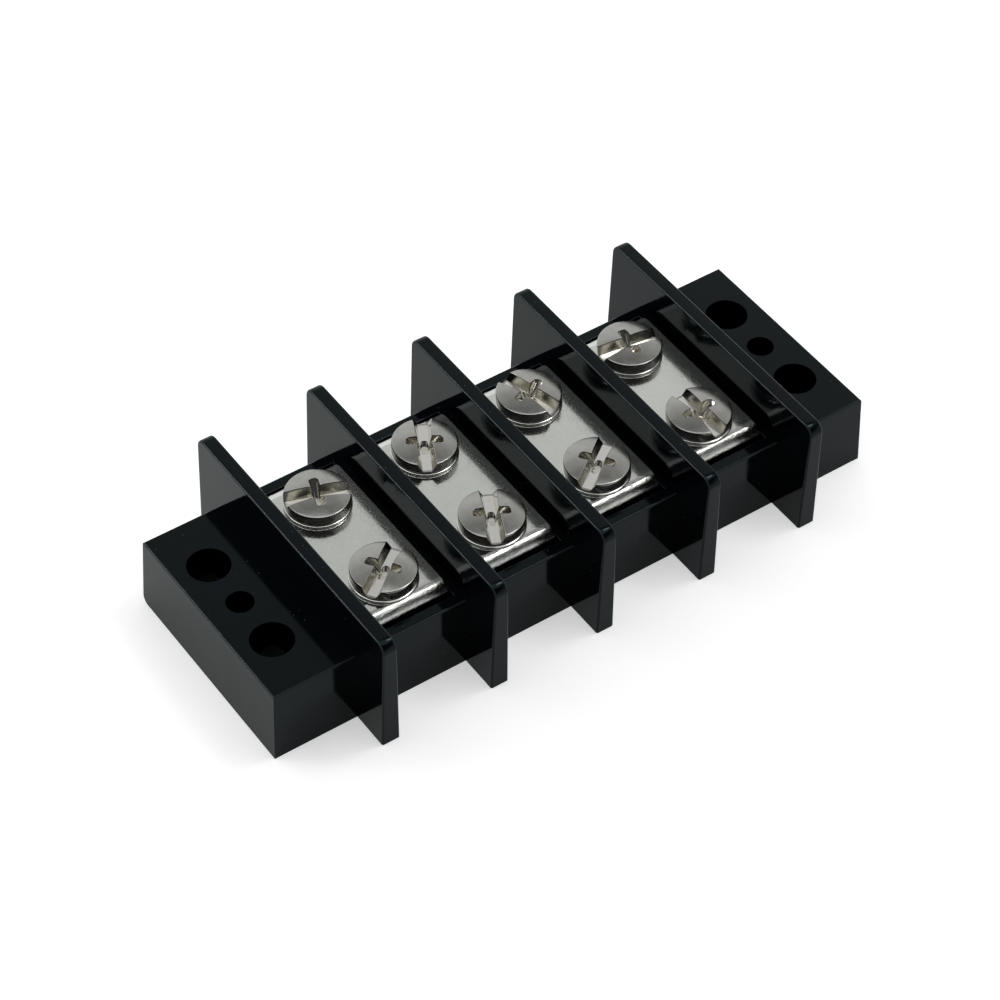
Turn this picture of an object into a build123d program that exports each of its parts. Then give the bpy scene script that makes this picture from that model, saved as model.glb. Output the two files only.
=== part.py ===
from build123d import *
import math
import os

# Four-pole barrier terminal block, in millimetres.
# X runs along the row of poles, the front faces -Y, +Z is up and the base lies on Z = 0.

# Row of poles
pole_count = 4
pole_pitch = 17.5

# Moulded bar, sized at its base
bar_height = 11.75
bar_width = 33.8
bar_end_reach = 14.35          # from the outermost barrier's middle plane to the bar's end
bar_side_draft = 1.95          # degrees, long sides
bar_end_draft = 2.25           # degrees, short ends
bar_corner_radius = 0.5        # upright corners
bar_edge_bevel = 0.25          # top edges
bar_rear_edge_radius = 1.2     # long bottom edge at the rear

# Barrier walls, sized at their top
barrier_thickness = 2.12
barrier_height = 19.3
barrier_overhang = 6.05        # past the bar's base, front and rear
barrier_draft = 1.0            # degrees, each face
barrier_corner_radius = 1.6    # upper front and rear corners
barrier_edge_bevel = 0.22

# Holes through the two end blocks
mounting_hole_diameter = 6.1
mounting_hole_spacing = 15.88  # across the bar
cover_hole_diameter = 3.9
end_hole_inset = 5.65          # from the bar's end at its base
end_hole_lead = 0.25           # bevel at the upper mouth

# Connecting straps, bent from plate
strap_width = 12.8
strap_thickness = 1.5
strap_span = 28.1              # over the two legs
strap_bend_radius = 0.5        # inside of the bend
strap_leg_length = 5.75        # from the top face down to the leg's tip
strap_edge_bevel = 0.12
collar_wall = 0.7              # drawn collar round each tapped hole
collar_length = 1.75           # below the plate

# Slots and wells that take the strap and the screw tips
slot_end_clearance = 0.3
slot_inner_clearance = 0.2
slot_outer_clearance = 0.7
slot_floor_clearance = 0.5
well_clearance = 0.25          # radial, to the strap's collar
well_depth_below_tip = 1.2

# Screws with captive washers
screw_spacing = 16.2           # between the front and the rear screw of a pole
thread_diameter = 5.0
thread_clearance = 0.04        # radial, to the tapped hole
screw_length = 10.0            # under the head
tip_chamfer = 0.5
neck_diameter = 4.35           # plain neck that carries the washer
neck_extra = 0.35              # neck past the washer's lower face
washer_diameter = 9.5
washer_thickness = 0.45
washer_clearance = 0.15        # radial, to the neck

# Screw head: a low drum with a shallow crown
head_diameter = 9.3
head_side_height = 1.6         # from the seat up to the rim
head_dome_rise = 0.55
head_flat_diameter = 5.4       # level middle of the crown

# Combined drive: a straight slot that flares to the rim, and a cross recess
slot_floor_height = 0.4        # above the head's seat
slot_floor_width = 1.3
slot_mouth_middle = 1.9        # at the dome's crown
slot_mouth_rim = 2.45
cross_span = 5.3
cross_width = 1.25
cross_depth = 2.6              # below the dome's crown
cross_floor_span = 1.8
tool_overrun = 0.6             # cutters run this far past what they cut

# Slot directions as left by the fitter, degrees from +X, pole 1 to pole 4
slot_angles = {
    "front": (40, 63, 35, 91),
    "rear": (161, 61, 105, 172),
}

# Worked out from the sizes above
bar_length = pole_count * pole_pitch + 2 * bar_end_reach
barrier_width = bar_width + 2 * barrier_overhang
end_hole_x = bar_length / 2 - end_hole_inset
strap_top = bar_height + strap_thickness
strap_tip = strap_top - strap_leg_length
tapped_hole_radius = thread_diameter / 2 + thread_clearance
collar_radius = tapped_hole_radius + collar_wall
head_seat = strap_top + washer_thickness
head_rim = head_seat + head_side_height
head_crown = head_rim + head_dome_rise
screw_tip = head_seat - screw_length
well_floor = screw_tip - well_depth_below_tip
sides = {"front": -1, "rear": 1}


def run(angle, rise):
    """Sideways run of a face that leans by angle degrees over a rise."""
    return rise * math.tan(math.radians(angle))


def pole_x(number):
    """Middle of a pole along the row, poles counted from 1 at -X."""
    return (number - (pole_count + 1) / 2) * pole_pitch


def drafted_section(base_width, draft):
    """Upright section of the bar, whose two flanks lean in by the draft."""
    top_width = base_width - 2 * run(draft, bar_height)
    return Polygon(
        (-base_width / 2, 0),
        (base_width / 2, 0),
        (top_width / 2, bar_height),
        (-top_width / 2, bar_height),
        align=None,
    )


def bar():
    """Drafted bar with softened edges and a rounded long bottom edge at the rear."""
    side_section = drafted_section(bar_width, bar_side_draft)
    end_section = drafted_section(bar_length, bar_end_draft)
    block = extrude(Plane.YZ * side_section, amount=bar_length / 2, both=True)
    block &= extrude(Plane.XZ * end_section, amount=bar_width / 2, both=True)
    level_edges = block.edges().filter_by(Axis.X) + block.edges().filter_by(Axis.Y)
    block = fillet(block.edges() - level_edges, bar_corner_radius)
    block = chamfer(block.faces().sort_by(Axis.Z)[-1].edges(), bar_edge_bevel)
    rear_corner = side_section.vertices().sort_by_distance((bar_width / 2, 0, 0))[0]
    rounded_section = fillet(rear_corner, bar_rear_edge_radius)
    return block & extrude(Plane.YZ * rounded_section, amount=bar_length / 2, both=True)


def barrier():
    """Drafted divider wall with rounded upper corners, standing on Z = 0."""
    top_half = barrier_thickness / 2
    foot_half = top_half + run(barrier_draft, barrier_height)
    section = Polygon(
        (-foot_half, 0),
        (foot_half, 0),
        (top_half, barrier_height),
        (-top_half, barrier_height),
        align=None,
    )
    wall = extrude(Plane.XZ * section, amount=barrier_width / 2, both=True)
    crown_edges = wall.edges().filter_by(Axis.X).group_by(Axis.Z)[-1]
    wall = fillet(crown_edges, barrier_corner_radius)
    faces = wall.faces().sort_by(Axis.X)
    rims = faces[0].edges() + faces[-1].edges()
    feet = rims.group_by(Axis.Z)[0]
    return chamfer(rims - feet, barrier_edge_bevel)


def end_hole(diameter):
    """Cutter for one hole through an end block, bevelled at its upper mouth."""
    radius = diameter / 2
    lead = Cone(radius, radius + end_hole_lead, end_hole_lead)
    bore = Pos(0, 0, bar_height / 2) * Cylinder(radius, bar_height + 2 * tool_overrun)
    return bore + Pos(0, 0, bar_height - end_hole_lead / 2) * lead


def leg_slot():
    """Cutter for the slot of one strap leg on the +Y side, eased where the strap bends down."""
    inner = strap_span / 2 - strap_thickness - slot_inner_clearance
    outer = strap_span / 2 + slot_outer_clearance
    floor = strap_tip - slot_floor_clearance
    ease = strap_bend_radius
    section = Polygon(
        (inner, floor),
        (outer, floor),
        (outer, bar_height + tool_overrun),
        (inner - ease, bar_height + tool_overrun),
        (inner - ease, bar_height),
        (inner, bar_height - ease),
        align=None,
    )
    return extrude(Plane.YZ * section, amount=strap_width / 2 + slot_end_clearance, both=True)


def screw_well():
    """Cutter for the cored well that clears one collar of the strap and the screw's tip."""
    height = bar_height + tool_overrun - well_floor
    return Pos(0, 0, well_floor + height / 2) * Cylinder(collar_radius + well_clearance, height)


def housing():
    """Insulating body: bar and barriers in one moulding, with every slot, well and hole."""
    wall = barrier()
    walls = []
    for index in range(pole_count + 1):
        walls.append(Pos((index - pole_count / 2) * pole_pitch, 0, 0) * wall)
    cutters = []
    for hole_x in (-end_hole_x, end_hole_x):
        cutters.append(Pos(hole_x, 0, 0) * end_hole(cover_hole_diameter))
        for side in sides.values():
            place = Pos(hole_x, side * mounting_hole_spacing / 2, 0)
            cutters.append(place * end_hole(mounting_hole_diameter))
    for number in range(1, pole_count + 1):
        for side in sides.values():
            middle = Pos(pole_x(number), 0, 0)
            cutters.append(middle * Rot(0, 0, 90 - 90 * side) * leg_slot())
            cutters.append(middle * Pos(0, side * screw_spacing / 2, 0) * screw_well())
    return bar() + walls - cutters


def strap():
    """Connecting strap of one pole: plate, two legs and two tapped collars."""
    half_out = strap_span / 2
    half_in = half_out - strap_thickness
    outer = FilletPolyline(
        (-half_out, strap_tip),
        (-half_out, strap_top),
        (half_out, strap_top),
        (half_out, strap_tip),
        radius=strap_bend_radius + strap_thickness,
    )
    inner = FilletPolyline(
        (-half_in, strap_tip),
        (-half_in, bar_height),
        (half_in, bar_height),
        (half_in, strap_tip),
        radius=strap_bend_radius,
    )
    left_tip = Line((-half_out, strap_tip), (-half_in, strap_tip))
    right_tip = Line((half_out, strap_tip), (half_in, strap_tip))
    section = make_face(outer + inner + left_tip + right_tip)
    plate = extrude(Plane.YZ * section, amount=strap_width / 2, both=True)
    flanks = plate.faces().sort_by(Axis.X)
    plate = chamfer(flanks[0].edges() + flanks[-1].edges(), strap_edge_bevel)
    hole_height = strap_thickness + collar_length + 2 * tool_overrun
    hole_middle = strap_top + tool_overrun - hole_height / 2
    collars = []
    holes = []
    for side in sides.values():
        y = side * screw_spacing / 2
        collar = Cylinder(collar_radius, collar_length)
        collars.append(Pos(0, y, bar_height - collar_length / 2) * collar)
        holes.append(Pos(0, y, hole_middle) * Cylinder(tapped_hole_radius, hole_height))
    return plate + collars - holes


def washer():
    """Flat washer held captive on the screw's neck, lying on the strap."""
    hole_radius = neck_diameter / 2 + washer_clearance
    disc = Cylinder(washer_diameter / 2, washer_thickness)
    disc -= Cylinder(hole_radius, washer_thickness + tool_overrun)
    return Pos(0, 0, strap_top + washer_thickness / 2) * disc


def screw_blank():
    """Screw without its drive, turned about its axis."""
    thread_radius = thread_diameter / 2
    neck_radius = neck_diameter / 2
    neck_end = strap_top - neck_extra
    head_radius = head_diameter / 2
    outline = Polyline(
        (0, head_crown),
        (0, screw_tip),
        (thread_radius - tip_chamfer, screw_tip),
        (thread_radius, screw_tip + tip_chamfer),
        (thread_radius, neck_end),
        (neck_radius, neck_end),
        (neck_radius, head_seat),
        (head_radius, head_seat),
        (head_radius, head_rim),
        (head_flat_diameter / 2, head_crown),
        close=True,
    )
    return revolve(Plane.XZ * make_face(outline), Axis.Z)


def slot_section(reach, mouth, mouth_height):
    """Cross-section of the drive slot at a distance from the screw's axis."""
    floor = head_seat + slot_floor_height
    top = head_crown + tool_overrun
    flare = (mouth - slot_floor_width) / 2 / (mouth_height - floor)
    top_half = slot_floor_width / 2 + flare * (top - floor)
    floor_half = slot_floor_width / 2
    outline = Polygon(
        (-floor_half, floor),
        (floor_half, floor),
        (top_half, top),
        (-top_half, top),
        align=None,
    )
    return Plane(origin=(reach, 0, 0), x_dir=(0, 1, 0), z_dir=(1, 0, 0)) * outline


def drive_cutter():
    """Flared slot along X, and the cross recess with one pair of arms in the slot."""
    reach = head_diameter / 2 + tool_overrun
    middle = slot_section(0, slot_mouth_middle, head_crown)
    cutter = loft([middle, slot_section(reach, slot_mouth_rim, head_rim)])
    cutter += loft([middle, slot_section(-reach, slot_mouth_rim, head_rim)])
    cross_floor = head_crown - cross_depth
    lean = (cross_span - cross_floor_span) / 2 / cross_depth
    top_half = cross_span / 2 + lean * tool_overrun
    floor_half = cross_floor_span / 2
    arm = Polygon(
        (-floor_half, cross_floor),
        (floor_half, cross_floor),
        (top_half, head_crown + tool_overrun),
        (-top_half, head_crown + tool_overrun),
        align=None,
    )
    blade = extrude(Plane.XZ * arm, amount=cross_width / 2, both=True)
    return cutter + blade + Rot(0, 0, 90) * blade


def save(shape, name):
    """Write one sub-part to its own STEP file."""
    export_step(shape, f"parts/{name}.step")


def main():
    """Build every sub-part in its place and write it."""
    os.makedirs("parts", exist_ok=True)
    save(housing(), "housing")
    one_strap = strap()
    one_washer = washer()
    one_screw = screw_blank() - drive_cutter()
    for number in range(1, pole_count + 1):
        save(Pos(pole_x(number), 0, 0) * one_strap, f"strap_{number}")
        for name, side in sides.items():
            place = Pos(pole_x(number), side * screw_spacing / 2, 0)
            angle = slot_angles[name][(number - 1) % len(slot_angles[name])]
            save(place * one_washer, f"washer_{number}_{name}")
            save(place * Rot(0, 0, angle) * one_screw, f"screw_{number}_{name}")


main()
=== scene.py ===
"""Looks of a four-pole barrier terminal block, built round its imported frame. Metres, +Z up."""

import math

import bmesh
import bpy
from bpy.props import FloatProperty, FloatVectorProperty, IntProperty, PointerProperty
from mathutils import Matrix, Vector


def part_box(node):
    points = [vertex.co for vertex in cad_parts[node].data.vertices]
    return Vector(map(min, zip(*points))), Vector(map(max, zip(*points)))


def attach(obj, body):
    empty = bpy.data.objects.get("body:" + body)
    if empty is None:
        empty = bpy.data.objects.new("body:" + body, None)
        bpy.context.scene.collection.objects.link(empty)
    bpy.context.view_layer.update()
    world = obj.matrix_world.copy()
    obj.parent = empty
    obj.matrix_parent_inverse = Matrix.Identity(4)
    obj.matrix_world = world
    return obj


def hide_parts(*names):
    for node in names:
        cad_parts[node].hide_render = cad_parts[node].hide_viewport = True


bl_info = {
    "name": "Barrier terminal block",
    "version": (1, 0, 0),
    "blender": (4, 5, 0),
    "location": "3D View > Sidebar > Terminal Block",
    "description": "Moulded housing, plated straps, washers and screws on the packed frame",
    "category": "Object",
}

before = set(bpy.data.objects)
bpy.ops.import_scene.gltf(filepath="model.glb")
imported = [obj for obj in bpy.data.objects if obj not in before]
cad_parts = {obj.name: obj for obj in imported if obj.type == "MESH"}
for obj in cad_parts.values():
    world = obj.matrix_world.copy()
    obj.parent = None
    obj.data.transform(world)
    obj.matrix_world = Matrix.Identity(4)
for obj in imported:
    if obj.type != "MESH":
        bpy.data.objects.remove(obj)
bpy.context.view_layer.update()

MM = 0.001
POLES = (1, 2, 3, 4)
SIDES = {"front": -1, "rear": 1}
# Slot directions of the screws as tightened, degrees from +X, pole 1 to pole 4
SLOT_ANGLES = {"front": (35, 63, 35, 91), "rear": (161, 61, 105, 172)}

HOUSING_LOW, HOUSING_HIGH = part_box("housing")
STRAP_LOW, STRAP_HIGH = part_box("strap_1")
WASHER_LOW, WASHER_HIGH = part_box("washer_1_front")
SCREW_LOW, SCREW_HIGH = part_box("screw_1_front")
SEAT = WASHER_HIGH.z
HEAD_RADIUS = (SCREW_HIGH.x - SCREW_LOW.x) / 2
SCREW_Y = abs(SCREW_LOW.y + SCREW_HIGH.y) / 2
POLE_X = [sum(corner.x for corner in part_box(f"strap_{number}")) / 2 for number in POLES]
POLE_PITCH = POLE_X[1] - POLE_X[0]

# Lengths this close are the same, and edges that a boolean cut are found with the wider slack
SLACK = 1e-6
CUT_SLACK = 2e-6
# Points this close are merged once the booleans are done
WELD = 4e-7


def size(name, description, default):
    """A length a user may change, given in millimetres."""
    return FloatProperty(name=name, description=description, default=default * MM,
                         min=0.0, precision=5, subtype="DISTANCE", unit="LENGTH")


def colour(name, description, default):
    """A linear RGB colour a user may change."""
    return FloatVectorProperty(name=name, description=description, default=default,
                               subtype="COLOR", size=3, min=0.0, max=1.0)


def share(name, description, default):
    """A plain factor from 0 to 1."""
    return FloatProperty(name=name, description=description, default=default,
                         min=0.0, max=1.0, subtype="FACTOR")


def power(name, description, default):
    """A lamp's power in watts."""
    return FloatProperty(name=name, description=description, default=default,
                         min=0.0, subtype="POWER", unit="POWER")


def angle(name, description, degrees):
    """An angle a user may change, given in degrees."""
    return FloatProperty(name=name, description=description, default=math.radians(degrees),
                         subtype="ANGLE", unit="ROTATION")


class HousingSizes(bpy.types.PropertyGroup):
    """Sizes of the moulded housing that the frame's boxes don't give."""

    bar_height: size("Bar height", "Base to the deck that carries the straps", 11.75)
    bar_width: size("Bar width", "Width of the bar at its base", 33.8)
    side_run: size("Side draft", "How far each long side leans in over the bar's height", 0.4)
    end_run: size("End draft", "How far each end leans in over the bar's height", 0.462)
    edge_round: size("Edge round", "Radius of the moulding's top edges", 0.28)
    rear_round: size("Rear round", "Radius of the long bottom edge at the rear", 1.2)
    barrier_top: size("Barrier top", "Thickness of a barrier at its top", 2.12)
    barrier_foot: size("Barrier foot", "Thickness of a barrier at the base", 2.79)
    barrier_corner: size("Barrier corner", "Radius of a barrier's upper corners", 1.6)
    hole_inset: size("Hole inset", "End of the bar to the holes' middle line", 5.65)
    hole_spacing: size("Hole spacing", "Between the two mounting holes of an end", 15.88)
    hole_width: size("Mounting hole", "Diameter of the mounting holes", 6.1)
    cover_hole_width: size("Cover hole", "Diameter of the middle holes", 3.9)
    hole_round: size("Hole round", "Radius of the holes' upper mouths", 0.22)
    slot_inner: size("Slot inner wall", "Middle plane to the inner wall of a leg slot", 12.35)
    slot_outer: size("Slot outer wall", "Middle plane to the outer wall of a leg slot", 14.75)
    slot_length: size("Slot length", "Length of a leg slot along the row", 13.4)
    slot_floor: size("Slot floor", "Base to the floor of a leg slot", 7.0)
    well_width: size("Well width", "Diameter of the cored well under a screw", 6.98)
    well_floor: size("Well floor", "Base to the floor of a well", 2.5)


class StrapSizes(bpy.types.PropertyGroup):
    """Sizes of the bent straps that the frame's boxes don't give."""

    thickness: size("Plate thickness", "Thickness of the plated strip", 1.5)
    inside_bend: size("Inside bend", "Radius of the bend on its inner side", 0.5)
    edge_round: size("Edge round", "Radius of the sheared edges", 0.13)
    collar_width: size("Collar width", "Outer diameter of the drawn collars", 6.48)
    collar_length: size("Collar length", "Length of a collar under the plate", 1.75)
    hole_width: size("Tapped hole", "Diameter of the tapped holes", 5.08)


class ScrewSizes(bpy.types.PropertyGroup):
    """Sizes of the screws and their captive washers."""

    side_height: size("Head side", "Seat of the head up to its rim", 1.6)
    dome_rise: size("Dome rise", "Rim of the head up to its crown", 0.54)
    rim_round: size("Rim round", "Radius of the head's upper rim", 0.2)
    foot_round: size("Foot round", "Radius of the head's lower edge", 0.22)
    seat_gap: size("Seat gap", "Hair's breadth between the head and its washer", 0.01)
    neck_width: size("Neck width", "Diameter of the neck that holds the washer", 4.35)
    neck_end: size("Neck end", "Seat of the head down to the first thread", 0.8)
    thread_width: size("Thread width", "Outside diameter of the thread", 4.98)
    core_width: size("Core width", "Root diameter of the thread", 4.13)
    lead: size("Thread lead", "Rise of the thread in one turn", 0.8)
    tip_chamfer: size("Tip chamfer", "Chamfer of the screw's tip", 0.5)
    slot_floor: size("Slot floor", "Seat of the head up to the floor of the slot", 0.4)
    slot_floor_width: size("Slot floor width", "Width of the slot at its floor", 1.3)
    slot_middle_width: size("Slot middle width", "Width of the slot's mouth at the crown", 1.9)
    slot_rim_width: size("Slot rim width", "Width of the slot's mouth at the rim", 2.45)
    cross_span: size("Cross span", "Length of the cross recess over two arms", 5.1)
    cross_floor_span: size("Cross floor span", "The same at the recess floor", 1.5)
    cross_width: size("Cross width", "Width of the arms of the cross recess", 1.25)
    cross_depth: size("Cross depth", "Crown of the head down to the recess floor", 2.3)
    cross_round: size("Cross arm round", "Radius of the corners at the ends of the arms", 0.36)
    drive_round: size("Drive edge round", "Radius of the mouth edges of slot and recess", 0.16)
    washer_hole: size("Washer hole", "Diameter of the washer's hole", 4.65)
    washer_chamfer: size("Washer chamfer", "Width of the washer's worn upper edge, seen from above", 0.34)
    washer_round: size("Washer round", "Radius of the washer's lower edge", 0.08)


class Finishes(bpy.types.PropertyGroup):
    """Colours and roughness of the finishes."""

    moulding: colour("Moulding", "Black of the moulded housing", (0.0007, 0.0009, 0.0018))
    # Painted highlight: this grey on the moulding's rounded top edges stands in for their glints
    edge_highlight: colour("Worn edge", "Grey of the moulding's rubbed top edges", (0.028, 0.031, 0.032))
    dust: colour("Dust", "Colour of the dust specks on the moulding", (0.25, 0.26, 0.27))
    moulding_tint: colour("Moulding tint", "Tint of what the moulding mirrors", (0.7, 0.98, 1.0))
    moulding_ior: FloatProperty(name="Moulding IOR", description="How strongly the moulding mirrors",
                                default=1.25, min=1.0)
    moulding_roughness: share("Moulding roughness", "Roughness of the moulded faces", 0.08)
    strap: colour("Strap plate", "Colour of the plated straps", (0.65, 0.665, 0.63))
    strap_roughness: share("Strap roughness", "Roughness of the plated straps", 0.11)
    screw: colour("Screw plate", "Colour of the plated screws where cut", (0.68, 0.675, 0.64))
    screw_skin: share("Screw skin", "How much of that the tumbled outer skin keeps", 0.5)
    screw_roughness: share("Screw roughness", "Roughness of the tumbled outer skin", 0.2)
    # Partly real tarnish, partly painted shade: this darker brown is laid into the drive recesses, most
    # at depth and on steep walls
    tarnish_and_shade: colour("Tarnish", "Colour of the dull plating down in the recesses", (0.5, 0.48, 0.41))


class Studio(bpy.types.PropertyGroup):
    """Floor, light and camera."""

    floor: colour("Floor", "Colour of the floor", (0.9, 0.9, 0.9))
    floor_lift: share("Floor lift", "Light added to the floor where it is seen, to show white", 0.48)
    mirrored_lift: share("Mirrored lift", "How much of that is left where the floor is mirrored", 0.45)
    sweep: share("Sweep", "Brightness of the white sweep at the horizon", 1.0)
    ceiling: share("Ceiling", "Brightness of the dim ceiling", 0.2)
    camera_side: share("Camera side", "How much light is left where the photographer stands", 0.05)
    softbox_power: power("Softbox power", "Power of the softbox overhead", 1.45)
    left_power: power("Left lamp power", "Power of the small lamp at the left", 0.6)
    front_power: power("Front lamp power", "Power of the small lamp that draws the front edges", 0.22)
    focal: FloatProperty(name="Focal length", description="Camera focal length, millimetres",
                         default=118.72, min=1.0, subtype="DISTANCE_CAMERA")
    azimuth: angle("Azimuth", "Where the camera stands, from -Y", -35.479)
    elevation: angle("Elevation", "Camera angle above the floor", 46.219)
    roll: angle("Roll", "Tilt of the camera about its own axis", 1.092)


class BlockSettings(bpy.types.PropertyGroup):
    """Every setting of the terminal block, as the panel shows them."""

    housing: PointerProperty(type=HousingSizes)
    strap: PointerProperty(type=StrapSizes)
    screw: PointerProperty(type=ScrewSizes)
    finish: PointerProperty(type=Finishes)
    studio: PointerProperty(type=Studio)
    circle_steps: IntProperty(name="Circle steps", description="Sides of a round wall",
                              default=72, min=24, max=256)


# Mesh tools


def select_only(piece=None):
    """Leave one piece selected and active, or nothing selected, in object mode."""
    if bpy.context.object and bpy.context.object.mode != "OBJECT":
        bpy.ops.object.mode_set(mode="OBJECT")
    bpy.ops.object.select_all(action="DESELECT")
    if piece:
        piece.select_set(True)
        bpy.context.view_layer.objects.active = piece


def settle(name):
    """Name the new primitive and put its place into its mesh."""
    piece = bpy.context.object
    piece.name = name
    piece.data.name = name
    bpy.ops.object.transform_apply(location=True, rotation=True, scale=True)
    return piece


def add_box(name, low, high):
    """Box between two corners."""
    select_only()
    low, high = Vector(low), Vector(high)
    bpy.ops.mesh.primitive_cube_add(size=1, location=(low + high) / 2)
    bpy.context.object.scale = high - low
    return settle(name)


def add_cylinder(name, radius, low_z, high_z, x, y, steps):
    """Upright cylinder between two heights."""
    select_only()
    bpy.ops.mesh.primitive_cylinder_add(vertices=steps, radius=radius, depth=high_z - low_z,
                                        location=(x, y, (low_z + high_z) / 2))
    return settle(name)


def edit(piece):
    """Open a piece's mesh with all of it selected."""
    select_only(piece)
    bpy.ops.object.mode_set(mode="EDIT")
    bpy.ops.mesh.select_mode(type="VERT")
    bpy.ops.mesh.select_all(action="SELECT")


def close_edit():
    """Back to object mode."""
    bpy.ops.object.mode_set(mode="OBJECT")


def close_outwards():
    """Turn all faces of the open mesh outwards and go back to object mode."""
    bpy.ops.mesh.select_all(action="SELECT")
    bpy.ops.mesh.normals_make_consistent(inside=False)
    close_edit()


def near(a, b, slack=SLACK):
    """Whether two lengths are the same."""
    return abs(a - b) < slack


def pick(piece, kind, test):
    """Select, in edit mode, the elements whose vertices all pass a test on their place."""
    bpy.ops.mesh.select_mode(type=kind)
    bpy.ops.mesh.select_all(action="DESELECT")
    mesh = bmesh.from_edit_mesh(piece.data)
    elements = {"VERT": mesh.verts, "EDGE": mesh.edges, "FACE": mesh.faces}[kind]
    count = 0
    for element in elements:
        corners = [element] if kind == "VERT" else element.verts
        if all(test(corner.co) for corner in corners):
            element.select_set(True)
            count += 1
    mesh.select_flush_mode()
    bmesh.update_edit_mesh(piece.data)
    if not count:
        raise RuntimeError(f"nothing to select on {piece.name}")


def bevel(width, segments):
    """Round the selected edges."""
    bpy.ops.mesh.bevel(offset=width, segments=segments, profile=0.5, affect="EDGES",
                       clamp_overlap=True)


def extrude(x, y, z):
    """Extrude what is selected by a step."""
    bpy.ops.mesh.extrude_region_move(TRANSFORM_OT_translate={"value": (x, y, z)})


def spread(x, y, height):
    """Scale what is selected along X and Y, about the upright axis."""
    bpy.ops.transform.resize(value=(x, y, 1), center_override=(0, 0, height))


def slice_across(places):
    """Cut the open mesh at places along X, which gives its long edges points to bend at."""
    for x in places:
        bpy.ops.mesh.select_all(action="SELECT")
        bpy.ops.mesh.bisect(plane_co=(x, 0, 0), plane_no=(1, 0, 0))


def apply_modifier(piece, kind, **settings):
    """Add one modifier to a piece and apply it."""
    select_only(piece)
    modifier = piece.modifiers.new(kind.title(), kind)
    for key, value in settings.items():
        setattr(modifier, key, value)
    bpy.ops.object.modifier_apply(modifier=modifier.name)


def combine(piece, other, operation):
    """Join, cut or intersect a piece with another, which is used up."""
    apply_modifier(piece, "BOOLEAN", object=other, operation=operation, solver="EXACT")
    bpy.data.objects.remove(other)


def join(pieces):
    """Make one mesh of several pieces that don't touch."""
    select_only(pieces[0])
    for piece in pieces:
        piece.select_set(True)
    bpy.ops.object.join()
    return pieces[0]


def copy_of(piece, name, matrix):
    """A copy with its own mesh, moved in the mesh."""
    select_only(piece)
    bpy.ops.object.duplicate(linked=False)
    twin = bpy.context.object
    twin.name = name
    twin.data.name = name
    twin.data.transform(matrix)
    return twin


def clean(piece):
    """Merge the hair-thin faces that the booleans leave."""
    edit(piece)
    bpy.ops.mesh.remove_doubles(threshold=WELD)
    bpy.ops.mesh.dissolve_degenerate(threshold=WELD)
    close_edit()


def shade(piece, crease=32):
    """Smooth shading, with creases where faces meet at more degrees than that."""
    select_only(piece)
    bpy.ops.object.shade_smooth_by_angle(angle=math.radians(crease))
    apply_modifier(piece, "WEIGHTED_NORMAL", keep_sharp=True, weight=100)


def lathe(name, stations, steps):
    """Turned solid about Z: a filled circle drawn up through (radius, height) stations."""
    select_only()
    radius, height = stations[0]
    bpy.ops.mesh.primitive_circle_add(vertices=steps, radius=radius, fill_type="NGON",
                                      location=(0, 0, height))
    piece = settle(name)
    edit(piece)
    for next_radius, next_height in stations[1:]:
        extrude(0, 0, next_height - height)
        factor = next_radius / radius
        spread(factor, factor, next_height)
        radius, height = next_radius, next_height
    close_outwards()
    return piece


def arc(centre, radius, start, end, steps):
    """Points on an arc, angles in degrees."""
    points = []
    for step in range(steps + 1):
        turn = math.radians(start + (end - start) * step / steps)
        points.append((centre[0] + radius * math.cos(turn), centre[1] + radius * math.sin(turn)))
    return points


def finish_piece(piece, body, node, material):
    """Tie a finished piece to its body, its finish and the node that it stands for."""
    piece.data.materials.clear()
    piece.data.materials.append(material)
    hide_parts(node)
    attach(piece, body)


# Finishes

# The rims of the barriers' free ends, further out than this, get the painted edge highlight on their long
# sides alone
EDGE_HIGHLIGHT_REACH = 20 * MM
# Depth below a head's dome over which the tumbled skin gives way to the cut metal
CUT_DEPTHS = (0.1 * MM, 0.4 * MM)
# Depth over which the floor of the cross recess goes dull and darker: a brownish tarnish with painted
# shade
TARNISH_SHADE_DEPTHS = (1.75 * MM, 2.3 * MM)
# Drop below a strap's top face over which the drawing streaks of its bends set in
BEND_DROPS = (0.02 * MM, 0.2 * MM)


class Nodes:
    """A node tree, with short calls to add and link nodes."""

    def __init__(self, tree):
        self.tree = tree

    def add(self, kind, inputs=None, **settings):
        """Add a node, set its own settings, and set or link its inputs."""
        node = self.tree.nodes.new(kind)
        for key, value in settings.items():
            setattr(node, key, value)
        for key, value in (inputs or {}).items():
            self.plug(value, node.inputs[key])
        return node

    def plug(self, value, socket):
        """Link an output to a socket, or set the socket to a value."""
        if isinstance(value, bpy.types.NodeSocket):
            self.tree.links.new(value, socket)
        else:
            socket.default_value = value

    def split(self, vector):
        """The X, Y and Z of a vector."""
        return self.add("ShaderNodeSeparateXYZ", {"Vector": vector}).outputs

    def ramp(self, value, low, high, to_low=0.0, to_high=1.0):
        """Map a value's range to another, clamped and eased."""
        node = self.add("ShaderNodeMapRange", {"Value": value, "From Min": low, "From Max": high,
                                               "To Min": to_low, "To Max": to_high},
                        interpolation_type="SMOOTHSTEP")
        return node.outputs["Result"]

    def math(self, operation, first, second=0.0):
        """One sum on two values."""
        node = self.add("ShaderNodeMath", {0: first, 1: second}, operation=operation)
        return node.outputs["Value"]

    def times(self, first, second):
        """Product of two values."""
        return self.math("MULTIPLY", first, second)


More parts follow.
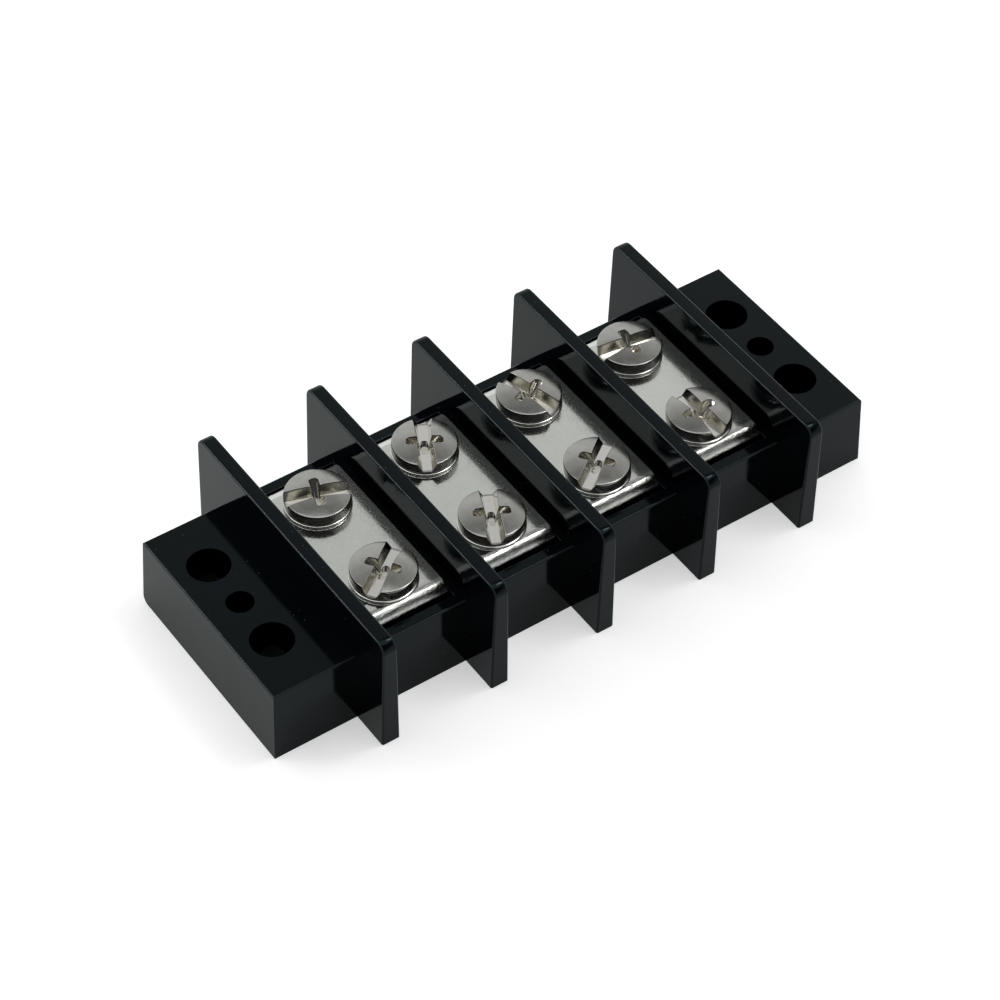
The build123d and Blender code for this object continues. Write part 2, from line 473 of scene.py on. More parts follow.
class Shader(Nodes):
    """A material whose patterns keep to the piece's own place."""

    def __init__(self, name):
        self.material = bpy.data.materials.new(name)
        self.material.use_nodes = True
        super().__init__(self.material.node_tree)
        coordinates = self.add("ShaderNodeTexCoord").outputs
        self.place = coordinates["Object"]
        self.normal = coordinates["Normal"]

    def surface(self, **values):
        """Set or link the shader's own sockets, named with _ for a space."""
        sockets = self.tree.nodes["Principled BSDF"].inputs
        for key, value in values.items():
            self.plug(value, sockets[key.replace("_", " ")])

    def noise(self, scale, detail=2.0, roughness=0.5, stretch=None):
        """Noise with features about 1/scale metres wide."""
        place = self.place
        if stretch:
            mapping = self.add("ShaderNodeMapping", {"Vector": place, "Scale": stretch})
            place = mapping.outputs["Vector"]
        node = self.add("ShaderNodeTexNoise", {"Vector": place, "Scale": scale, "Detail": detail,
                                               "Roughness": roughness})
        return node.outputs["Fac"]

    def mix(self, factor, first, second):
        """Blend two colours. Sockets 6 and 7 and output 2 are the Mix node's own for colours."""
        node = self.add("ShaderNodeMix", {"Factor": factor}, data_type="RGBA")
        for socket, value in ((node.inputs[6], first), (node.inputs[7], second)):
            self.plug(value if isinstance(value, bpy.types.NodeSocket) else (*value, 1.0), socket)
        return node.outputs[2]

    def bump(self, height, distance, strength, under=None):
        """Bump of a height field, distance in metres, laid over another bump."""
        inputs = {"Height": height, "Distance": distance, "Strength": strength}
        if under is not None:
            inputs["Normal"] = under
        return self.add("ShaderNodeBump", inputs).outputs["Normal"]

    def specks(self, scale, width, chance, seed):
        """Mask of small round specks: cells 1/scale metres wide, a chance of one in each."""
        mapping = self.add("ShaderNodeMapping", {"Vector": self.place, "Location": (seed, seed, 0)})
        cells = self.add("ShaderNodeTexVoronoi", {"Vector": mapping.outputs["Vector"],
                                                  "Scale": scale, "Randomness": 1.0})
        round_spot = self.ramp(cells.outputs["Distance"], width, width * 0.5)
        draw = self.add("ShaderNodeSeparateColor", {"Color": cells.outputs["Color"]})
        chosen = self.math("GREATER_THAN", draw.outputs["Red"], 1.0 - chance)
        return self.times(round_spot, chosen)


def edge_highlight_mask(shader):
    """Mask of the painted highlight on the moulding's rounded top edges, found by the slant of their
    surface.
    """
    facing = shader.split(shader.normal)
    slanted = shader.times(shader.ramp(facing["Z"], 0.2, 0.45), shader.ramp(facing["Z"], 0.97, 0.88))
    sideways = shader.ramp(shader.math("ABSOLUTE", facing["X"]), 0.15, 0.4)
    off_middle = shader.math("ABSOLUTE", shader.split(shader.place)["Y"])
    on_bar = shader.math("LESS_THAN", off_middle, EDGE_HIGHLIGHT_REACH)
    return shader.times(slanted, shader.math("MAXIMUM", sideways, on_bar))


def black_moulding(finish):
    """Glossy black moulding: painted highlights on the rounded top edges, slight waviness, fine grain and
    a few dust specks.
    """
    shader = Shader("black_moulding")
    base = Vector(finish.moulding)
    dust = shader.specks(scale=900.0, width=0.06, chance=0.5, seed=3.0)
    cloud = shader.ramp(shader.noise(90.0, 3.0), 0.35, 0.7)
    tone = shader.mix(cloud, base, base * 1.6)
    # Painted highlight: the rounded top edges are lightened to a grey that stands in for their glints
    tone = shader.mix(edge_highlight_mask(shader), tone, finish.edge_highlight)
    tone = shader.mix(shader.times(dust, 0.6), tone, finish.dust)
    rough = finish.moulding_roughness
    smear = shader.ramp(shader.noise(240.0, 4.0, 0.6), 0.3, 0.75, rough * 0.8, rough * 1.35)
    waves = shader.bump(shader.noise(130.0, 1.0), distance=0.08 * MM, strength=0.25)
    grain = shader.bump(shader.noise(5200.0), distance=0.004 * MM, strength=0.35, under=waves)
    shader.surface(
        Base_Color=tone,
        Roughness=shader.math("ADD", smear, shader.times(dust, 0.4)),
        Normal=shader.bump(dust, distance=0.02 * MM, strength=0.8, under=grain),
        IOR=finish.moulding_ior,
        Specular_Tint=(*finish.moulding_tint, 1.0),
    )
    return shader.material


def strap_plating(finish):
    """Satin nickel plate on rolled strip: fine grain, small dents, cloudy gloss, streaked bends."""
    shader = Shader("strap_plating")
    base = Vector(finish.strap)
    cloud = shader.ramp(shader.noise(260.0, 4.0), 0.3, 0.7)
    tone = shader.mix(cloud, base * 0.97, base * 1.02)
    grain = shader.noise(3600.0, 3.0, 0.6)
    tone = shader.mix(shader.ramp(grain, 0.25, 0.5, 0.15, 0.0), tone, base * 0.6)
    dents = shader.specks(scale=1100.0, width=0.2, chance=0.06, seed=7.0)
    tone = shader.mix(shader.times(dents, 0.35), tone, base * 0.4)
    rough = finish.strap_roughness
    smear = shader.ramp(shader.noise(700.0, 4.0), 0.3, 0.7, rough * 0.9, rough * 1.15)
    bend = shader.ramp(shader.split(shader.place)["Z"], *(STRAP_HIGH.z - drop for drop in BEND_DROPS))
    streaks = shader.noise(1500.0, 4.0, 0.7, stretch=(0.35, 1.0, 1.0))
    pits = shader.ramp(shader.noise(5200.0, 2.0, 0.6), 0.55, 0.7)
    relief = shader.bump(pits, distance=0.03 * MM, strength=0.16)
    relief = shader.bump(grain, distance=0.006 * MM, strength=0.35, under=relief)
    relief = shader.bump(shader.times(streaks, bend), distance=0.1 * MM, strength=0.7, under=relief)
    undented = shader.math("SUBTRACT", 1.0, dents)
    shader.surface(
        Base_Color=tone,
        Metallic=1.0,
        Roughness=smear,
        Normal=shader.bump(undented, distance=0.02 * MM, strength=0.4, under=relief),
    )
    return shader.material


def screw_plating(finish, name, skin_share):
    """Nickel plate with fine turning rings; down in the drive recess dulled, with a brownish tarnish and
    painted shade.
    """
    shader = Shader(name)
    base = Vector(finish.screw)
    skin = base * skin_share
    depth, radius = (shader.add("ShaderNodeAttribute", attribute_name=layer).outputs["Fac"]
                     for layer in ("depth", "turned"))
    cut = shader.ramp(depth, *CUT_DEPTHS)
    cloud = shader.ramp(shader.noise(700.0, 3.0), 0.3, 0.7)
    tone = shader.mix(cut, shader.mix(cloud, skin * 0.94, skin * 1.05), base)
    grain = shader.noise(6000.0, 3.0, 0.6)
    tone = shader.mix(shader.ramp(grain, 0.3, 0.5, 0.12, 0.0), tone, base * 0.5)
    # Partly real tarnish, partly painted shade: the drive's steep walls and its deep floor are darkened
    # towards a brown
    walls = shader.times(shader.ramp(shader.split(shader.normal)["Z"], 0.8, 0.45), cut)
    tarnish_and_shade_mask = shader.math("MAXIMUM", walls, shader.ramp(depth, *TARNISH_SHADE_DEPTHS))
    tarnish_and_shade_patches = shader.ramp(shader.noise(1500.0, 3.0), 0.3, 0.65, 0.35, 0.75)
    rough = finish.screw_roughness
    smear = shader.ramp(shader.noise(900.0, 3.0), 0.3, 0.7, rough * 0.9, rough * 1.15)
    rings = shader.add("ShaderNodeTexNoise", {"W": radius, "Scale": 9000.0, "Detail": 2.0},
                       noise_dimensions="1D").outputs["Fac"]
    turned = shader.bump(rings, distance=0.006 * MM, strength=0.4)
    shader.surface(
        Base_Color=shader.mix(shader.times(tarnish_and_shade_mask, tarnish_and_shade_patches), tone, finish.tarnish_and_shade),
        Metallic=1.0,
        Roughness=shader.times(smear, shader.ramp(depth, *CUT_DEPTHS, 1.0, 0.85)),
        Normal=shader.bump(grain, distance=0.004 * MM, strength=0.35, under=turned),
    )
    return shader.material


# Pieces

# Profile of the washer's worn upper edge, inwards and downwards, as shares of its width
WORN_EDGE = ((0.0, 0.6), (0.12, 0.36), (0.9, 0.04), (1.1, 0.0))
# One pitch of the thread: root or crest, and the share of the lead that it is reached at
THREAD_PROFILE = (("core", 0.0), ("core", 0.125), ("crest", 0.44), ("crest", 0.56),
                  ("core", 0.875), ("core", 1.0))
# Mouth of a drive recess, outwards and upwards, in radii of its edge: a round, then a steep lip
MOUTH_PROFILE = ((0.049, 0.309), (0.191, 0.588), (0.412, 0.809), (1.3, 1.262), (1.35, 6.0))
# Where the slot's mouth gets points to widen at, as shares of the head's radius
SLOT_STATIONS = (0.0, 0.27, 0.54, 0.8, 0.96)
# Width of the cross recess's arms at the floor, as a share of their width
ARM_FLOOR = 0.72
# Outer band of a head that is skin all over, and the degrees past which its faces meet in a crease
RIM_BAND = 0.4 * MM
SCREW_CREASE = 21


def bar_solid(sizes):
    """The bar: drafted sides and ends, rounded top edges and rear bottom edge."""
    half = sizes.bar_width / 2
    height = sizes.bar_height
    low_x, high_x = HOUSING_LOW.x, HOUSING_HIGH.x
    bar = add_box("moulded_housing", (low_x, -half, 0), (high_x, half, height))
    edit(bar)
    pick(bar, "VERT", lambda co: near(co.z, height))
    spread((high_x - sizes.end_run) / high_x, (half - sizes.side_run) / half, height)
    pick(bar, "EDGE", lambda co: near(co.z, 0) and near(co.y, half))
    bevel(sizes.rear_round, segments=6)
    pick(bar, "EDGE", lambda co: near(co.z, height))
    bevel(sizes.edge_round, segments=4)
    close_edit()
    return bar


def barrier_solid(sizes):
    """One divider wall on the middle plane, rounded at its upper corners and all its rims."""
    height = HOUSING_HIGH.z
    foot = sizes.barrier_foot / 2
    wall = add_box("barrier", (-foot, HOUSING_LOW.y, 0), (foot, HOUSING_HIGH.y, height))
    edit(wall)
    pick(wall, "VERT", lambda co: near(co.z, height))
    spread(sizes.barrier_top / sizes.barrier_foot, 1, height)
    for end in (HOUSING_LOW.y, HOUSING_HIGH.y):
        pick(wall, "EDGE", lambda co: near(co.z, height) and near(co.y, end))
        bevel(sizes.barrier_corner, segments=10)
    bpy.ops.mesh.select_mode(type="EDGE")
    bpy.ops.mesh.select_all(action="DESELECT")
    mesh = bmesh.from_edit_mesh(wall.data)
    for edge in mesh.edges:
        first, last = edge.verts
        along_rim = first.co.x * last.co.x > 0
        on_foot = near(first.co.z, 0) and near(last.co.z, 0)
        edge.select_set(along_rim and not on_foot)
    bmesh.update_edit_mesh(wall.data)
    bevel(sizes.edge_round, segments=4)
    close_edit()
    return wall


def end_holes(sizes):
    """Place and radius of each hole in the end blocks."""
    hole_x = HOUSING_HIGH.x - sizes.hole_inset
    holes = []
    for x in (-hole_x, hole_x):
        holes.append((x, 0, sizes.cover_hole_width / 2))
        for side in SIDES.values():
            holes.append((x, side * sizes.hole_spacing / 2, sizes.hole_width / 2))
    return holes


def housing_cutters(sizes, steps):
    """Slots, wells and end holes, as one tool."""
    over = 1.0 * MM
    top = sizes.bar_height + over
    half_slot = sizes.slot_length / 2
    tools = []
    for x in POLE_X:
        for side in SIDES.values():
            low_y, high_y = sorted((side * sizes.slot_inner, side * sizes.slot_outer))
            tools.append(add_box("slot", (x - half_slot, low_y, sizes.slot_floor),
                                 (x + half_slot, high_y, top)))
            tools.append(add_cylinder("well", sizes.well_width / 2, sizes.well_floor, top,
                                      x, side * SCREW_Y, steps))
    for x, y, radius in end_holes(sizes):
        tools.append(add_cylinder("end_hole", radius, -over, top, x, y, steps))
    return join(tools)


def round_mouths(housing, sizes):
    """Round the upper mouths of the end holes, and less so those of the leg slots."""
    holes = end_holes(sizes)

    def on_hole_mouth(co):
        if not near(co.z, sizes.bar_height):
            return False
        return any(near(math.hypot(co.x - x, co.y - y), radius, CUT_SLACK) for x, y, radius in holes)

    def on_slot_mouth(co):
        off = min(abs(co.x - x) for x in POLE_X)
        across = abs(co.y)
        half = sizes.slot_length / 2
        on_end = near(off, half, CUT_SLACK)
        on_wall = any(near(across, wall, CUT_SLACK) for wall in (sizes.slot_inner, sizes.slot_outer))
        inside = off < half + CUT_SLACK and across > sizes.slot_inner - CUT_SLACK
        return near(co.z, sizes.bar_height) and inside and (on_end or on_wall)

    edit(housing)
    pick(housing, "EDGE", on_hole_mouth)
    bevel(sizes.hole_round, segments=4)
    pick(housing, "EDGE", on_slot_mouth)
    bevel(sizes.hole_round * 0.6, segments=2)
    close_edit()


class BLOCK_OT_housing(bpy.types.Operator):
    """Mould the black housing: bar, barriers, slots, wells and end holes"""

    bl_idname = "terminal_block.housing"
    bl_label = "Moulded Housing"

    def execute(self, context):
        settings = context.scene.terminal_block
        sizes = settings.housing
        housing = bar_solid(sizes)
        wall = barrier_solid(sizes)
        first_x = POLE_X[0] - POLE_PITCH / 2
        for index in range(len(POLES) + 1):
            place = Matrix.Translation((first_x + index * POLE_PITCH, 0, 0))
            combine(housing, copy_of(wall, "wall", place), "UNION")
        bpy.data.objects.remove(wall)
        combine(housing, housing_cutters(sizes, settings.circle_steps), "DIFFERENCE")
        round_mouths(housing, sizes)
        shade(housing)
        finish_piece(housing, "base", "housing", black_moulding(settings.finish))
        return {"FINISHED"}


def bent_strip(sizes):
    """The strap's strip on the middle plane: one half drawn from its section, then mirrored."""
    top = STRAP_HIGH.z
    outside_bend = sizes.inside_bend + sizes.thickness
    bend_y = STRAP_HIGH.y - outside_bend
    bend_z = top - outside_bend
    select_only()
    bpy.ops.mesh.primitive_plane_add(size=1, location=(0, 0, top - sizes.thickness / 2),
                                     rotation=(math.radians(90), 0, 0))
    bpy.context.object.scale = (STRAP_HIGH.x - STRAP_LOW.x, sizes.thickness, 1)
    strip = settle("plated_strap")
    edit(strip)
    extrude(0, bend_y, 0)
    bpy.ops.mesh.spin(steps=10, angle=math.radians(90), axis=(1, 0, 0), center=(0, bend_y, bend_z))
    extrude(0, 0, STRAP_LOW.z - bend_z)
    pick(strip, "FACE", lambda co: near(co.y, 0))
    bpy.ops.mesh.delete(type="ONLY_FACE")
    close_edit()
    apply_modifier(strip, "MIRROR", use_axis=(False, True, False), merge_threshold=SLACK)
    edit(strip)
    bpy.ops.mesh.remove_doubles(threshold=SLACK / 10)
    close_outwards()
    apply_modifier(strip, "BEVEL", width=sizes.edge_round, segments=3, limit_method="ANGLE",
                   angle_limit=math.radians(50))
    return strip


def strap_solid(sizes, steps):
    """One strap: the bent strip with its two tapped collars."""
    top = STRAP_HIGH.z
    under = top - sizes.thickness
    strap = bent_strip(sizes)
    for side in SIDES.values():
        y = side * SCREW_Y
        collar = add_cylinder("collar", sizes.collar_width / 2, under - sizes.collar_length,
                              top - sizes.thickness / 2, 0, y, steps)
        combine(strap, collar, "UNION")
        hole = add_cylinder("tapped_hole", sizes.hole_width / 2, under - 3 * sizes.collar_length,
                            top + sizes.thickness, 0, y, steps)
        combine(strap, hole, "DIFFERENCE")
    shade(strap)
    return strap


class BLOCK_OT_straps(bpy.types.Operator):
    """Bend and plate the connecting straps, one for each pole"""

    bl_idname = "terminal_block.straps"
    bl_label = "Plated Straps"

    def execute(self, context):
        settings = context.scene.terminal_block
        material = strap_plating(settings.finish)
        strap = strap_solid(settings.strap, settings.circle_steps)
        for number, x in zip(POLES, POLE_X):
            piece = copy_of(strap, f"plated_strap_{number}", Matrix.Translation((x, 0, 0)))
            finish_piece(piece, "base", f"strap_{number}", material)
        bpy.data.objects.remove(strap)
        return {"FINISHED"}


def screw_places():
    """Tag and place of every screw and its washer, and the screw's slot direction."""
    for side, sign in SIDES.items():
        for number, x, degrees in zip(POLES, POLE_X, SLOT_ANGLES[side]):
            yield f"{number}_{side}", Matrix.Translation((x, sign * SCREW_Y, 0)), degrees


def washer_solid(sizes, steps):
    """One flat washer on the axis, with a worn upper edge and a rounded lower one."""
    radius = (WASHER_HIGH.x - WASHER_LOW.x) / 2
    low, high = WASHER_LOW.z, WASHER_HIGH.z
    hole = sizes.washer_hole / 2
    round_off = sizes.washer_round
    stations = [(hole, low), (radius - round_off, low)]
    stations += arc((radius - round_off, low + round_off), round_off, -60, 0, 3)
    for inwards, downwards in WORN_EDGE:
        stations.append((radius - inwards * sizes.washer_chamfer,
                         high - downwards * sizes.washer_chamfer))
    stations.append((hole, high))
    disc = lathe("captive_washer", stations, steps)
    edit(disc)
    pick(disc, "FACE", lambda co: near(math.hypot(co.x, co.y), hole))
    bpy.ops.mesh.bridge_edge_loops()
    close_outwards()
    shade(disc)
    return disc


class BLOCK_OT_washers(bpy.types.Operator):
    """Turn the captive washers that lie under the screw heads"""

    bl_idname = "terminal_block.washers"
    bl_label = "Captive Washers"

    def execute(self, context):
        settings = context.scene.terminal_block
        material = screw_plating(settings.finish, "washer_plating", 1.0)
        washer = washer_solid(settings.screw, settings.circle_steps)
        for tag, place, _ in screw_places():
            piece = copy_of(washer, f"captive_washer_{tag}", place)
            finish_piece(piece, f"washer_{tag}", f"washer_{tag}", material)
        bpy.data.objects.remove(washer)
        return {"FINISHED"}


def crown_height(sizes):
    """Height of the middle of the head's dome."""
    return SEAT + sizes.side_height + sizes.dome_rise


def dome_height(sizes, radius):
    """Height of the head's dome at a distance from the axis."""
    rise = sizes.dome_rise
    dome = (HEAD_RADIUS**2 + rise**2) / (2 * rise)
    return crown_height(sizes) - dome + math.sqrt(max(dome**2 - radius**2, 0.0))


def head_solid(sizes, steps):
    """Head and neck of the screw, on the axis: foot, side, rim, then the dome in rings."""
    neck = sizes.neck_width / 2
    bearing = SEAT + sizes.seat_gap
    rim_height = SEAT + sizes.side_height
    foot = HEAD_RADIUS - sizes.foot_round
    rim = HEAD_RADIUS - sizes.rim_round
    stations = [(neck, SEAT - sizes.neck_end), (neck, bearing), (foot, bearing)]
    stations += arc((foot, bearing + sizes.foot_round), sizes.foot_round, -65, 0, 4)
    stations += arc((rim, rim_height - sizes.rim_round * 0.8), sizes.rim_round, 0, 78, 5)
    rings = 9
    dome_start = rim * 0.97
    for ring in range(rings):
        radius = dome_start * (1 - ring / rings)
        stations.append((radius, dome_height(sizes, radius)))
    return lathe("machine_screw", stations, steps)


def thread_solid(sizes):
    """Threaded shank: one pitch of profile swept up a helix, trimmed by the shank's outline."""
    tip = SCREW_LOW.z
    lead = sizes.lead
    radii = {"core": sizes.core_width / 2, "crest": sizes.thread_width / 2}
    turns = math.ceil((SEAT - tip) / lead) + 2
    select_only()
    bpy.ops.mesh.primitive_plane_add(size=lead, location=(radii["core"], 0, tip - 1.5 * lead))
    thread = settle("thread")
    edit(thread)
    bpy.ops.mesh.merge(type="CENTER")
    for (part, height), (next_part, next_height) in zip(THREAD_PROFILE, THREAD_PROFILE[1:]):
        extrude(radii[next_part] - radii[part], 0, (next_height - height) * lead)
    close_edit()
    apply_modifier(thread, "SCREW", axis="Z", angle=math.tau, screw_offset=lead, iterations=turns,
                   steps=40, render_steps=40, use_merge_vertices=True, merge_threshold=SLACK)
    edit(thread)
    bpy.ops.mesh.remove_doubles(threshold=SLACK)
    bpy.ops.mesh.select_all(action="DESELECT")
    bpy.ops.mesh.select_mode(type="EDGE")
    bpy.ops.mesh.select_non_manifold()
    bpy.ops.mesh.edge_face_add()
    close_outwards()
    clear = 0.1 * MM
    runout = 0.25 * MM
    overlap = 0.15 * MM
    crest = radii["crest"]
    neck_end = SEAT - sizes.neck_end
    envelope = lathe("envelope", [
        (crest - sizes.tip_chamfer, tip),
        (crest + clear, tip + sizes.tip_chamfer + clear),
        (crest + clear, neck_end - runout),
        (sizes.neck_width / 2 - clear / 2, neck_end + overlap),
    ], steps=64)
    combine(thread, envelope, "INTERSECT")
    return thread


def flare_mouth(cutter, head, edge_round, half_length, half_width):
    """Lay a cutter's top just under the dome and flare it, so that it rounds the edge it cuts."""
    top = max(vertex.co.z for vertex in cutter.data.vertices)
    edit(cutter)
    pick(cutter, "VERT", lambda co: near(co.z, top))
    bpy.ops.object.vertex_group_add()
    bpy.ops.object.vertex_group_assign()
    close_edit()
    apply_modifier(cutter, "SHRINKWRAP", target=head, wrap_method="PROJECT", use_project_z=True,
                   use_positive_direction=True, use_negative_direction=False, offset=edge_round,
                   vertex_group=cutter.vertex_groups[0].name)
    edit(cutter)
    bpy.ops.mesh.select_all(action="DESELECT")
    bpy.ops.object.vertex_group_select()
    bpy.ops.mesh.select_mode(type="FACE")
    out_before, up_before = 0.0, 0.0
    for out, up in MOUTH_PROFILE:
        extrude(0, 0, (up - up_before) * edge_round)
        grow_x = (half_length + out * edge_round) / (half_length + out_before * edge_round)
        grow_y = (half_width + out * edge_round) / (half_width + out_before * edge_round)
        spread(grow_x, grow_y, top)
        out_before, up_before = out, up
    close_edit()


def slot_cutter(sizes, head, top):
    """Flared slot along X, wider at the rim than at the crown."""
    reach = HEAD_RADIUS + 0.6 * MM
    floor_half = sizes.slot_floor_width / 2
    widening = sizes.slot_rim_width - sizes.slot_middle_width
    slot = add_box("slot", (-reach, -floor_half, SEAT + sizes.slot_floor), (reach, floor_half, top))
    edit(slot)
    stations = [HEAD_RADIUS * part for part in SLOT_STATIONS]
    slice_across([0.0] + [sign * x for x in stations[1:] for sign in (-1, 1)])
    for x in stations + [reach]:
        mouth = sizes.slot_middle_width + widening * min(x / HEAD_RADIUS, 1.0)
        pick(slot, "VERT", lambda co: near(co.z, top) and near(abs(co.x), x))
        spread(1, mouth / 2 / floor_half, top)
    close_edit()
    flare_mouth(slot, head, sizes.drive_round, reach,
                (sizes.slot_middle_width + sizes.slot_rim_width) / 4)
    return slot


def blade_cutter(sizes, head, top):
    """One of the two blades that make the cross recess, along X."""
    floor = crown_height(sizes) - sizes.cross_depth
    half_length = sizes.cross_span / 2
    half_width = sizes.cross_width / 2
    blade = add_box("blade", (-half_length, -half_width, floor), (half_length, half_width, top))
    edit(blade)
    pick(blade, "VERT", lambda co: near(co.z, floor))
    spread(sizes.cross_floor_span / 2 / half_length, ARM_FLOOR, floor)
    for end in (-1, 1):
        for side in (-1, 1):
            pick(blade, "EDGE", lambda co: co.x * end > 0 and co.y * side > 0)
            bevel(sizes.cross_round, segments=4)
    slice_across((0.0, -half_length / 2, half_length / 2))
    close_edit()
    flare_mouth(blade, head, sizes.drive_round, half_length, half_width)
    return blade


def mark_head(screw, sizes):
    """Note on the mesh each point's depth below the head's dome, and its distance from the axis."""
    within = HEAD_RADIUS - RIM_BAND
    depths, radii = [], []
    for vertex in screw.data.vertices:
        co = vertex.co
        radius = math.hypot(co.x, co.y)
        in_drive = radius < within and co.z > SEAT - sizes.cross_depth
        depths.append(max(dome_height(sizes, radius) - co.z, 0.0) if in_drive else 0.0)
        radii.append(radius)
    for name, values in (("depth", depths), ("turned", radii)):
        layer = screw.data.attributes.new(name, "FLOAT", "POINT")
        layer.data.foreach_set("value", values)


def screw_solid(sizes, steps):
    """One machine screw on the axis, its slot along X."""
    screw = head_solid(sizes, steps)
    top = SEAT + sizes.side_height - sizes.drive_round
    slot = slot_cutter(sizes, screw, top)
    blade = blade_cutter(sizes, screw, top)
    crosswise = copy_of(blade, "crosswise", Matrix.Rotation(math.radians(90), 4, "Z"))
    for cutter in (slot, blade, crosswise):
        combine(screw, cutter, "DIFFERENCE")
    combine(screw, thread_solid(sizes), "UNION")
    clean(screw)
    mark_head(screw, sizes)
    shade(screw, SCREW_CREASE)
    return screw


class BLOCK_OT_screws(bpy.types.Operator):
    """Turn, slot and thread the screws, each left at its own angle"""

    bl_idname = "terminal_block.screws"
    bl_label = "Machine Screws"

    def execute(self, context):
        settings = context.scene.terminal_block
        finish = settings.finish
        material = screw_plating(finish, "screw_plating", finish.screw_skin)
        screw = screw_solid(settings.screw, settings.circle_steps)
        for tag, place, degrees in screw_places():
            turn = Matrix.Rotation(math.radians(degrees), 4, "Z")
            piece = copy_of(screw, f"machine_screw_{tag}", place @ turn)
            finish_piece(piece, f"screw_{tag}", f"screw_{tag}", material)
        bpy.data.objects.remove(screw)
        return {"FINISHED"}


# Stage

FLOOR_WIDTH = 6.0
FLOOR_DROP = 0.02 * MM
# Under the block, nearer the middle than this, the floor gets no added light
UNLIT_X = HOUSING_HIGH.x - 1.5 * MM
UNLIT_Y = 12 * MM
# The softbox hangs a little towards the camera, its long side across the view
SOFTBOX_FORWARD, SOFTBOX_HEIGHT = 0.02, 0.6
SOFTBOX_WIDTH, SOFTBOX_DEPTH = 0.9, 0.4
LEFT_PLACE, LEFT_WIDTH = (-0.55, 0.43, 0.3), 0.12
FRONT_PLACE, FRONT_WIDTH = (0.2, -0.055, 0.454), 0.1
# The camera as it was fitted to the photograph
CAMERA_PLACE = (-0.186097, -0.254642, 0.338799)
CAMERA_SHIFT = (0.01713, -0.02106)
SENSOR_WIDTH = 36.0


def view_direction(studio):
    """Unit vector from the object towards the camera."""
    flat = math.cos(studio.elevation)
    return Vector((math.sin(studio.azimuth) * flat, -math.cos(studio.azimuth) * flat,
                   math.sin(studio.elevation)))


def pale_floor(studio):
    """Wide pale floor, lifted to white where it is seen and less where it is mirrored."""
    shader = Shader("pale_floor")
    base = Vector(studio.floor)
    tone = shader.mix(shader.ramp(shader.noise(3.0, 3.0), 0.3, 0.7), base, base * 0.985)
    ray = shader.add("ShaderNodeLightPath").outputs
    mirrored = shader.math("MAXIMUM", ray["Is Glossy Ray"], ray["Is Transmission Ray"])
    mirrored = shader.times(mirrored, studio.mirrored_lift)
    seen = shader.math("MAXIMUM", ray["Is Camera Ray"], mirrored)
    spot = shader.split(shader.place)
    beyond_end, beyond_side = (
        shader.math("GREATER_THAN", shader.math("ABSOLUTE", spot[axis]), edge)
        for axis, edge in (("X", UNLIT_X), ("Y", UNLIT_Y)))
    seen = shader.times(seen, shader.math("MAXIMUM", beyond_end, beyond_side))
    shader.surface(
        Base_Color=tone,
        Roughness=0.75,
        Specular_IOR_Level=0.2,
        Emission_Color=(1, 1, 1, 1),
        Emission_Strength=shader.times(seen, studio.floor_lift),
    )
    select_only()
    bpy.ops.mesh.primitive_plane_add(size=FLOOR_WIDTH, location=(0, 0, -FLOOR_DROP))
    floor = settle("floor")
    floor.data.materials.append(shader.material)


def studio_world(studio):
    """White sweep round the horizon under a dimmer ceiling, dark where the photographer stands."""
    world = bpy.data.worlds.new("studio")
    world.use_nodes = True
    bpy.context.scene.world = world
    nodes = Nodes(world.node_tree)
    place = nodes.add("ShaderNodeTexCoord").outputs["Generated"]
    towards = nodes.add("ShaderNodeVectorMath", {0: place, 1: view_direction(studio)},
                        operation="DOT_PRODUCT").outputs["Value"]
    upwards = nodes.ramp(nodes.split(place)["Z"], 0.5, 1.0, studio.sweep, studio.ceiling)
    aside = nodes.ramp(towards, 0.25, 0.7, 1.0, studio.camera_side)
    back = nodes.tree.nodes["Background"].inputs
    nodes.plug((1, 1, 1, 1), back["Color"])
    nodes.plug(nodes.times(upwards, aside), back["Strength"])


def add_area(name, watts, place, target, width, depth, turn=0.0):
    """Soft lamp aimed at a point, turned about its own axis."""
    data = bpy.data.lights.new(name, "AREA")
    data.energy = watts
    data.shape = "RECTANGLE"
    data.size, data.size_y = width, depth
    lamp = bpy.data.objects.new(name, data)
    bpy.context.scene.collection.objects.link(lamp)
    lamp.location = place
    aim = Vector(target) - Vector(place)
    aimed = aim.to_track_quat("-Z", "Y").to_matrix() @ Matrix.Rotation(turn, 3, "Z")
    lamp.rotation_euler = aimed.to_euler()
    lamp.visible_camera = False


def add_camera(studio):
    """Camera as it stood for the photograph, frame 1000 by 1000."""
    towards = view_direction(studio)
    right = Vector((math.cos(studio.azimuth), math.sin(studio.azimuth), 0))
    up = towards.cross(right)
    axes = Matrix((right, up, towards)).transposed()
    axes = axes @ Matrix.Rotation(studio.roll, 3, "Z")
    data = bpy.data.cameras.new("camera")
    data.sensor_width = SENSOR_WIDTH
    data.lens = studio.focal
    data.shift_x, data.shift_y = CAMERA_SHIFT
    data.clip_start = 0.01
    camera = bpy.data.objects.new("camera", data)
    bpy.context.scene.collection.objects.link(camera)
    camera.matrix_world = axes.to_4x4()
    camera.location = CAMERA_PLACE
    bpy.context.scene.camera = camera


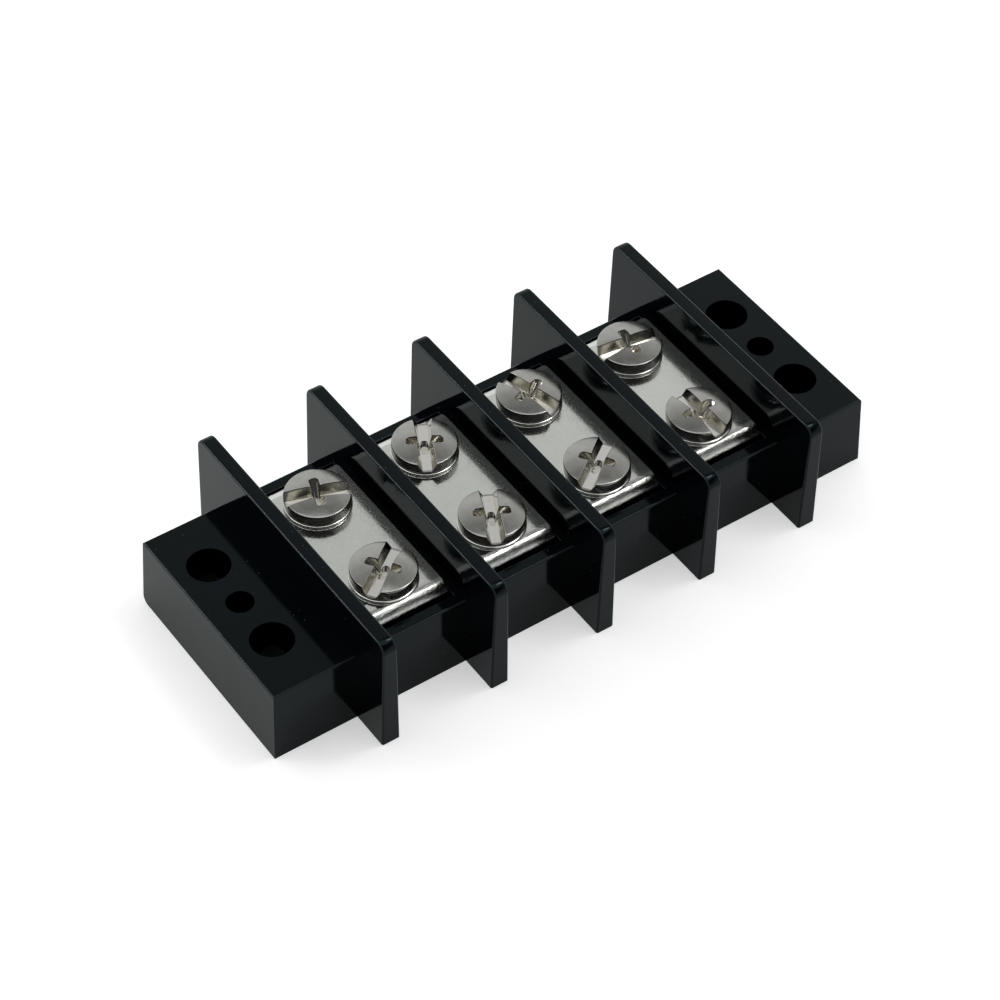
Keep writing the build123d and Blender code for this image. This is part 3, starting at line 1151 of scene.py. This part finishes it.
class BLOCK_OT_stage(bpy.types.Operator):
    """Lay the pale floor, light it softly and set up the camera"""

    bl_idname = "terminal_block.stage"
    bl_label = "Stage"

    def execute(self, context):
        studio = context.scene.terminal_block.studio
        pale_floor(studio)
        studio_world(studio)
        forward = view_direction(studio).to_2d().normalized() * SOFTBOX_FORWARD
        place = Vector((*forward, SOFTBOX_HEIGHT))
        add_area("softbox", studio.softbox_power, place, (place.x, place.y, 0), SOFTBOX_WIDTH,
                 SOFTBOX_DEPTH, studio.azimuth)
        add_area("lamp_left", studio.left_power, LEFT_PLACE, (0, 0, 0), LEFT_WIDTH, LEFT_WIDTH)
        add_area("lamp_front", studio.front_power, FRONT_PLACE, (0, 0, 0), FRONT_WIDTH, FRONT_WIDTH)
        add_camera(studio)
        context.scene.view_settings.view_transform = "Standard"
        return {"FINISHED"}


class BLOCK_PT_panel(bpy.types.Panel):
    """Buttons and settings of the terminal block"""

    bl_idname = "BLOCK_PT_panel"
    bl_label = "Terminal Block"
    bl_space_type = "VIEW_3D"
    bl_region_type = "UI"
    bl_category = "Terminal Block"

    def draw(self, context):
        settings = context.scene.terminal_block
        column = self.layout.column()
        for operator in OPERATORS:
            column.operator(operator.bl_idname)
        column.prop(settings, "circle_steps")
        for group in (settings.housing, settings.strap, settings.screw, settings.finish,
                      settings.studio):
            box = self.layout.box()
            for name in group.__annotations__:
                box.prop(group, name)


GROUPS = (HousingSizes, StrapSizes, ScrewSizes, Finishes, Studio, BlockSettings)
OPERATORS = (BLOCK_OT_housing, BLOCK_OT_straps, BLOCK_OT_washers, BLOCK_OT_screws, BLOCK_OT_stage)


def register():
    """Register the classes and hang the settings on the scene."""
    for entry in (*GROUPS, *OPERATORS, BLOCK_PT_panel):
        bpy.utils.register_class(entry)
    bpy.types.Scene.terminal_block = PointerProperty(type=BlockSettings)


def unregister():
    """Take the settings and the classes away again."""
    del bpy.types.Scene.terminal_block
    for entry in reversed((*GROUPS, *OPERATORS, BLOCK_PT_panel)):
        bpy.utils.unregister_class(entry)


def main():
    """Build every piece in order."""
    register()
    bpy.ops.terminal_block.housing()
    bpy.ops.terminal_block.straps()
    bpy.ops.terminal_block.washers()
    bpy.ops.terminal_block.screws()
    bpy.ops.terminal_block.stage()


if __name__ == "__main__":
    main()
